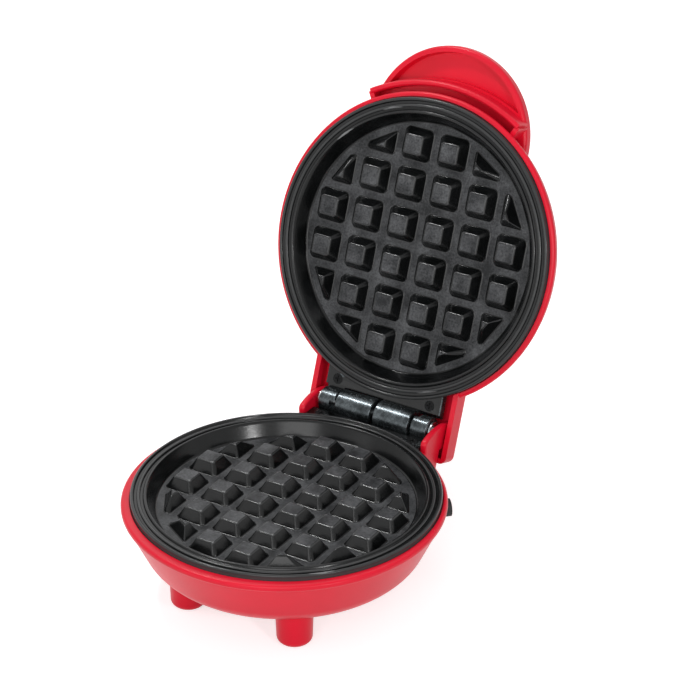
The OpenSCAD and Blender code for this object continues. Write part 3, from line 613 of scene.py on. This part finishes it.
def makePegs():
    p, half = peg["pitch"], peg["foot"] / 2
    made = []
    full = makePeg("pegFull", (-half, -half))
    rows = (-2.5, -1.5, -0.5, 0.5, 1.5, 2.5)
    for i in rows:
        for j in rows:
            if abs(i) + abs(j) < peg["whole"]:
                place = Matrix.Translation((i * p * mm, j * p * mm, 0))
                made.append(moved(copied(full, "peg"), place))
    bpy.data.objects.remove(full)
    # the outermost ones are cut off by the dish's side
    small = makePeg("pegThree", (2.5 * p - half, 1.5 * p - half), peg["cut"], peg["cutReach"],
                    peg["cutBend"])
    for turn in (0, 90, 180, 270):
        for flip in (1, -1):
            change = Matrix.Rotation(math.radians(turn), 4, "Z") @ Matrix.Diagonal((1, flip, 1, 1))
            made.append(moved(copied(small, "peg"), change))
    bpy.data.objects.remove(small)
    return joined(made)


def xRod(name, radius, left, right, y, z, edge=0.0):
    piece = rod(name, (left, y, z), (right, y, z), radius, 64)
    if edge:
        rounded(piece, lambda a, b: abs(a.x - b.x) < same, edge)
    return piece


def makePlate():
    piece = spun("castPlate", plateOutline(), steps=144)
    y, z = layout["pinY"], (layout["upperRim"] - layout["lowerRim"]) / 2
    s = lug
    slab = block("lugSlab", (-s["half"], s["front"], -s["drop"] - s["height"]),
                 (s["half"], y, -s["drop"]))
    rounded(slab, lambda a, b: abs(a.z - b.z) < same and a.z > -s["drop"] - near, s["round"])
    # the slab is cut away round the pin wherever the other plate's barrel and ear turn
    rounds = [xRod("room", s["clear"], -s["half"] - 1, s["barrel"][1] - s["gap"], y, z),
              xRod("room", s["clear"], s["barrel"][2] + s["gap"], s["ear"][1] - s["gap"], y, z),
              xRod("room", s["clear"], s["ear"][2] + s["gap"], s["half"] + 1, y, z)]
    dish = upright("dish", (0, 0), -20, 5, plate["edge"] - s["dishIn"], 144)
    combine(slab, "DIFFERENCE", rounds + [dish])
    combine(piece, "UNION", [slab, xRod("barrel", *s["barrel"], y, z, s["edge"]),
                             xRod("ear", *s["ear"], y, z, s["edge"])])
    top, low = -plate["under"], -plate["under"] - plate["bossHeight"]
    for angle in layout["screws"]:
        spot = around(plate["screwRing"], angle)
        combine(piece, "UNION", [upright("boss", spot, low, top + 0.5, plate["bossRadius"])])
        combine(piece, "DIFFERENCE", [upright("bore", spot, low - 1, top + plate["screwDeep"],
                                              plate["screwBore"], 24)])
    tools = [xRod("pinBore", s["bore"], s["barrel"][1] - 1, s["ear"][2] + 1, y, z)]
    for side in (-1, 1):
        spot = (side * s["screwX"], s["screwY"])
        tools.append(upright("thread", spot, -s["threadDeep"], 0, s["threadBore"], 24))
        tools.append(upright("head", spot, -s["drop"] - s["headDepth"], 0.5, s["headBore"], 32))
    # small step at the inner end of the ear
    width, before, above, far = s["step"]
    tools.append(block("earStep", (s["ear"][1] - near, y - before, z + above),
                       (s["ear"][1] + width, y + far, z + far)))
    combine(piece, "DIFFERENCE", tools)
    combine(piece, "UNION", [makePegs()])
    wear(piece, nonStick, mattPaintedLitFaces, castHinge)
    for face in piece.data.polygons:
        spot = face.center / mm
        up = spot.z + plate["depth"]
        level = min(abs(up), abs(up - peg["height"])) < 0.06 and face.normal.z > 0.99   # mm
        if level and spot.xy.length < plate["slopeTop"]:
            face.material_index = 1     # the dish's floor and the pegs' tops: matt coating, greyer as painted light
        elif spot.y > plate["edge"] - 3 and spot.xy.length > plate["edge"] + near:
            face.material_index = 2     # the hinge behind the rim
    return piece


lowerPlate = makePlate()
upperPlate = copied(lowerPlate, "upperPlate")
lowerPlate.name = "lowerPlate"
moved(lowerPlate, Matrix.Translation((0, 0, layout["lowerRim"] * mm)))
moved(upperPlate, Matrix.Translation((0, 0, layout["upperRim"] * mm))
      @ Matrix.Rotation(math.pi, 4, "Y"))
settle(lowerPlate, "base", ["lower_plate"])
settle(upperPlate, "lid", ["upper_plate"])


bowl = {
    "radius": 64, "shift": -1.5, "wall": 2.4, "bottom": 15.4, "flat": 44.4, "corner": 13,
    "bandTop": 40.4, "bandBottom": 37.6, "bandOut": 0.9, "bandRound": 1.2,
    "ledge": 38.4, "ledgeHeight": 2.4, "ledgeRadius": 59.0, "flangeRoom": 61.6,
    "postRadius": 4.1, "postTop": 28.4, "headBore": 2.9, "headTop": 18.6, "screwBore": 1.7,
    "grommetBore": 2.3, "grommetZ": 34.4,
}
foot = {"x": 24.6, "front": -33.5, "rear": 50, "radius": 7.5, "taper": 0.4, "round": 2.6,
        "frontTop": 18.5, "rearTop": 27.4, "padRoom": 3.9, "padOut": 0.6, "padIn": 1.0}
# the cheeks' side view in (y, z): an arch over the lug, a nose in front and a knuckle at the pin
cheek = {
    "inner": 27.4, "outer": 30.2, "seat": 38.0, "edge": 0.9, "edgeFrom": 25,
    "arch": (66.5, 20.1), "archRadius": 26, "nose": (58.82, 42.41), "noseRadius": 2.4,
    "noseFoot": 39.8, "knuckle": 7.6, "front": 21, "seatFront": 22,     # both in front of the pin
    "stopGap": 1.3, "stopNear": 7.2, "stopFar": 21.6,       # the face that the open lid rests on
    "threadBore": 1.35, "threadDeep": 5.5,
}
inlet = {"angle": 45, "height": 25.2, "face": 60.5, "length": 14, "boss": 6.4, "bore": 3.7,
         "boreFrom": 36, "edge": 0.5}


def touchAngle(centre, radius, point):
    # where a line from the point touches the circle
    dx, dy = point[0] - centre[0], point[1] - centre[1]
    return math.degrees(math.atan2(dy, dx) - math.acos(radius / math.hypot(dx, dy)))


def bowlSide(inset):
    s = bowl
    centre = (s["flat"], s["bottom"] + s["corner"])
    top = s["radius"] - s["bandOut"]
    lean = math.radians(-touchAngle(centre, s["corner"], (top, s["bandBottom"])))
    point = (top - inset / math.cos(lean), s["bandBottom"])
    radius = s["corner"] - inset
    return ([(0, s["bottom"] + inset)]
            + arc(centre, radius, -90, touchAngle(centre, radius, point), 24) + [point])


def stopPoint(along, up):
    # a point given from the pin in the opened lid's directions
    c, s = math.cos(openAngle), math.sin(openAngle)
    return (layout["pinY"] + along * c + up * s, layout["pinZ"] - along * s + up * c)


def makeFoot(side, y, top):
    s = foot
    r, sole, pad = s["radius"], s["padOut"], s["padOut"] + s["padIn"]
    end = r - s["taper"]
    return spun("foot", [(0, pad), (s["padRoom"], pad), (s["padRoom"], sole)]
                + arc((end - s["round"], sole + s["round"]), s["round"], -90, 0, 10)
                + arc((r - s["round"], top - s["round"]), s["round"], 0, 90, 8) + [(0, top)],
                (side * s["x"], y), 64)


def inletRod(name, radius, start, end):
    c = math.cos(math.radians(inlet["angle"]))
    z = inlet["height"]
    return rod(name, (start * c, start * c, z), (end * c, end * c, z), radius, 64)


def makeBase():
    s = bowl
    middle = (0, s["shift"])
    low, high, bead = s["bandBottom"], s["bandTop"], s["bandRound"]
    shell = spun("baseShell", bowlSide(0)
                 + arc((s["radius"] - bead, low + bead), bead, -90, 0, 5)
                 + arc((s["radius"] - bead, high - bead), bead, 0, 90, 5)
                 + [(0, high)], middle, 160)
    h = cheek
    pinY, pinZ = layout["pinY"], layout["pinZ"]
    first, last = stopPoint(h["stopNear"], h["stopGap"]), stopPoint(h["stopFar"], h["stopGap"])
    front = pinY - h["seatFront"]
    seat = sidePlate("hingeSeat", [(front, last[1]), last, first, (pinY - lug["clear"], h["seat"]),
                                   (front, h["seat"])], -h["inner"] - same, h["inner"] + same)
    outline = ([(pinY - h["front"], last[1]), (pinY - h["front"], h["noseFoot"]),
                (h["nose"][0] - h["noseRadius"], h["noseFoot"])]
               + arc(h["nose"], h["noseRadius"], 180, 109, 5)
               + arc(h["arch"], h["archRadius"], 106, 67, 14)
               + arc((pinY, pinZ), h["knuckle"], 8, -95, 16) + [first, last])
    parts = [seat]
    for side in (-1, 1):
        wall = sidePlate("cheek", outline, *sorted((side * h["inner"], side * h["outer"])))
        rounded(wall, lambda a, b: abs(a.x - b.x) < same and (a.z + b.z) / 2 > h["edgeFrom"],
                h["edge"])
        parts += [wall, makeFoot(side, foot["front"], foot["frontTop"]),
                  makeFoot(side, foot["rear"], foot["rearTop"])]
    boss = inletRod("inletBoss", inlet["boss"], inlet["face"] - inlet["length"], inlet["face"])
    parts.append(soften(boss, inlet["edge"]))
    combine(shell, "UNION", parts)

    # the inside, with its three screw posts left standing and the plate's ledge round it; the
    # cutting blocks and rods run well past what they cut
    posts = [around(plate["screwRing"], angle) for angle in layout["screws"]]
    step = s["ledge"] - s["ledgeHeight"]
    cavity = spun("cavity", bowlSide(s["wall"]) + [(0, s["bandBottom"])], middle, 160)
    combine(cavity, "DIFFERENCE", [upright("post", spot, s["bottom"], s["postTop"],
                                           s["postRadius"], 32) for spot in posts])
    combine(cavity, "DIFFERENCE", [block("ledgeTop", (-70, -70, step), (70, 70, 60))])
    room = spun("room", [(0, step - near), (s["ledgeRadius"], step - near),
                         (s["ledgeRadius"], s["ledge"]), (s["flangeRoom"], s["ledge"]),
                         (s["flangeRoom"], 50), (0, 50)], steps=160)
    combine(shell, "DIFFERENCE", [cavity, room])
    tools = [block("lugRoom", (-h["inner"], lug["front"], h["seat"]),
                   (h["inner"], lug["front"] + 40, 60)),
             inletRod("glandBore", inlet["bore"], inlet["boreFrom"], 80),
             rod("wirePassage", (0, lug["front"], s["grommetZ"]), (0, 95, s["grommetZ"]),
                 s["grommetBore"], 32)]
    for spot in posts:
        tools.append(upright("screwHead", spot, s["bottom"] - 1, s["headTop"], s["headBore"], 32))
        tools.append(upright("screwHole", spot, s["bottom"], s["bottom"] + 30, s["screwBore"], 24))
    for side in (-1, 1):
        tools.append(upright("lugThread", (side * lug["screwX"], lug["screwY"]),
                             h["seat"] - h["threadDeep"], h["seat"] + 4, h["threadBore"], 24))
    return combine(shell, "DIFFERENCE", tools)


baseShell = makeBase()
wear(baseShell, redPlastic)
settle(baseShell, "base", ["base_shell"])


dome = {"radius": 63.45, "top": 70.2, "side": 48.0, "lip": 45.2, "wall": 2.4, "bandOut": 0.9,
        "bandRound": 1.2, "rim": 43.0, "ledge": 47.2, "lampHole": 4.1}
tongue = {"radius": 35.9, "y": -46.95, "low": 55.5, "high": 61.3, "lowEdge": 1.4, "highEdge": 2.2,
          "border": 2.3, "recess": 3.7, "recessLean": 0.7}
apron = {"inner": 65.75, "width": 2.4, "drop": 7.4, "half": 30.5, "endWidth": 2, "endUp": 0.6,
         "clear": 0.8}
cover = {"arm": 33.4, "armInner": 31.2, "front": 45.3, "back": 82.1, "backInner": 79.9,
         "low": 44.4, "inside": 51.3, "top": 53.7, "round": 3, "lowRound": 2.0,
         "bossRadius": 3.2, "bossLow": 47.6, "threadBore": 1.35, "threadDeep": 5.1}


def domeSide(inset):
    s = dome
    across, up = s["radius"] - s["bandOut"] - inset, s["top"] - s["side"] - inset
    return [(across * math.cos(math.radians(a)), s["side"] + up * math.sin(math.radians(a)))
            for a in range(90, -1, -3)]


def makeApron():
    # the curved skirt under the tongue, and the two short walls that tie it to the dome
    s = apron
    r0, low, top = s["inner"], tongue["low"] - s["drop"], tongue["low"] + 1
    half = s["width"] / 2
    outline = (arc((r0 + half, low + half), half, 180, 360, 12)
               + [(r0 + s["width"], top), (r0, top)])
    outline.append(outline[0])
    start = math.radians(270 - s["half"])
    piece = looseOutline("apron", [(r * math.cos(start), r * math.sin(start), z)
                                   for r, z in outline])
    bpy.ops.mesh.remove_doubles(threshold=weld)
    bpy.ops.mesh.select_all(action="SELECT")
    bpy.ops.mesh.spin(steps=40, angle=math.radians(2 * s["half"]), axis=(0, 0, -1),
                      center=(0, 0, 0))
    bpy.ops.mesh.select_all(action="SELECT")
    bpy.ops.mesh.fill_holes(sides=0)
    closed(piece)
    ends = []
    for angle in (-s["half"], s["half"]):
        wall = block("apronEnd",
                     (dome["radius"] - dome["bandOut"] - 1, -s["endWidth"] / 2, low + s["endUp"]),
                     (r0 + half, s["endWidth"] / 2, low + s["endUp"] + s["drop"]))
        ends.append(moved(wall, Matrix.Rotation(math.radians(270 + angle), 4, "Z")))
    return [piece] + ends


def makeLid():
    s = dome
    r, bead = s["radius"], s["bandRound"]
    shell = spun("lidShell", domeSide(0) + arc((r - bead, s["side"] - bead), bead, 90, 0, 5)
                 + arc((r - bead, s["lip"] + bead), bead, 0, -90, 5) + [(0, s["lip"])], steps=160)
    t = tongue
    handle = spun("tongue", [(0, t["low"])]
                  + arc((t["radius"] - t["lowEdge"], t["low"] + t["lowEdge"]), t["lowEdge"],
                        -90, 0, 6)
                  + arc((t["radius"] - t["highEdge"], t["high"] - t["highEdge"]), t["highEdge"],
                        0, 90, 8)
                  + [(0, t["high"])], (0, t["y"]), 128)
    wide, deep = t["radius"] - t["border"], t["low"] + t["recess"]
    recess = spun("recess", [(0, t["low"] - 1), (wide, t["low"] - 1),
                             (wide - t["recessLean"], deep), (0, deep)], (0, t["y"]), 128)
    combine(recess, "DIFFERENCE", [upright("apronRoom", (0, 0), 40, 80, apron["inner"]
                                           + apron["width"] + apron["clear"], 160)])
    c = cover
    box = block("cover", (-c["arm"], c["front"], c["low"]), (c["arm"], c["back"], c["top"]))
    rounded(box, lambda a, b: (min(a.z, b.z) > c["top"] - near and max(a.y, b.y) > c["back"] - near)
            or min(a.y, b.y) > c["back"] - near and abs(a.x - b.x) < near, c["round"], 6)
    rounded(box, lambda a, b: min(a.y, b.y) > c["back"] - near and max(a.z, b.z) < c["low"] + near,
            c["lowRound"], 5)
    skirt = makeApron()
    combine(shell, "UNION", [handle, box])
    inside = spun("inside", domeSide(s["wall"]) + [(r - s["bandOut"] - s["wall"], s["ledge"]),
                                                   (0, s["ledge"])], steps=160)
    combine(shell, "DIFFERENCE", [
        recess, inside,
        upright("flangeRoom", (0, 0), s["rim"], s["ledge"] + same, bowl["flangeRoom"], 160),
        block("coverRoom", (-c["armInner"], c["front"], 42),
              (c["armInner"], c["backInner"], c["inside"])),
        upright("lampHole", (0, 0), 60, 75, s["lampHole"])])
    combine(shell, "UNION", skirt)
    for side in (-1, 1):
        spot = (side * lug["screwX"], lug["screwY"])
        combine(shell, "UNION", [upright("lugBoss", spot, c["bossLow"], c["inside"] + 0.5,
                                         c["bossRadius"], 32)])
        combine(shell, "DIFFERENCE", [upright("thread", spot, c["bossLow"] - 1,
                                              c["bossLow"] + c["threadDeep"], c["threadBore"], 24)])
    return shell


lidShell = makeLid()
wear(lidShell, redPlastic)
settle(lidShell, "lid", ["lid_shell"])
